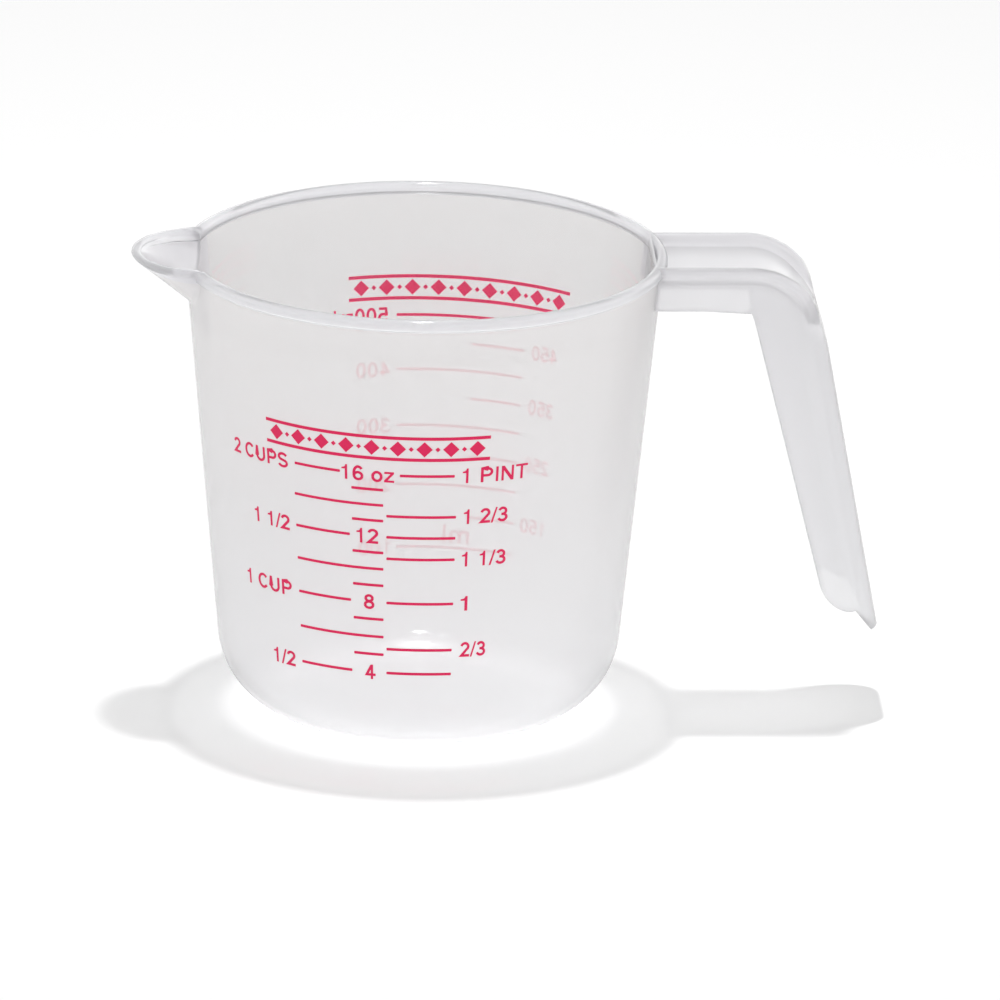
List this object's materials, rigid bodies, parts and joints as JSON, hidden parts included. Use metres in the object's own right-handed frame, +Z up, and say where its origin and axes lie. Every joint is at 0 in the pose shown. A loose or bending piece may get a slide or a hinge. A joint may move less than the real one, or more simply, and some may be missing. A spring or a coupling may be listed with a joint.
{
  "type": "measuring jug",
  "caption": "Translucent measuring jug with a pouring spout, an open strap handle and printed volume scales on two sides.",
  "frame": {"origin": "middle of the flat face the jug stands on", "axes": "+Z up, +X towards the handle, -X towards the pouring spout, -Y is the side with the ounce and cup scale"},
  "size_m": [0.1732, 0.112, 0.11],
  "materials": {
    "polypropylene": "translucent moulded polypropylene, glossy with a slight haze",
    "ink": "semi-gloss printed crimson ink"
  },
  "bodies": {
    "root": {"bowl": "polypropylene", "pouring_spout": "polypropylene", "handle": "polypropylene", "line_16_oz_left": "ink", "line_16_oz_right": "ink", "line_15_oz": "ink", "line_14_oz": "ink", "line_13_oz": "ink", "line_12_oz_left": "ink", "line_12_oz_right": "ink", "line_11_oz": "ink", "line_10_oz": "ink", "line_9_oz": "ink", "line_8_oz_left": "ink", "line_8_oz_right": "ink", "line_7_oz": "ink", "line_6_oz": "ink", "line_5_oz": "ink", "line_4_oz_left": "ink", "line_4_oz_right": "ink", "line_5_thirds_cup": "ink", "line_4_thirds_cup": "ink", "line_2_thirds_cup": "ink", "line_500_ml": "ink", "line_400_ml": "ink", "line_300_ml": "ink", "line_200_ml": "ink", "line_100_ml": "ink", "line_450_ml": "ink", "line_350_ml": "ink", "line_250_ml": "ink", "line_150_ml": "ink"}
  },
  "joints": []
}
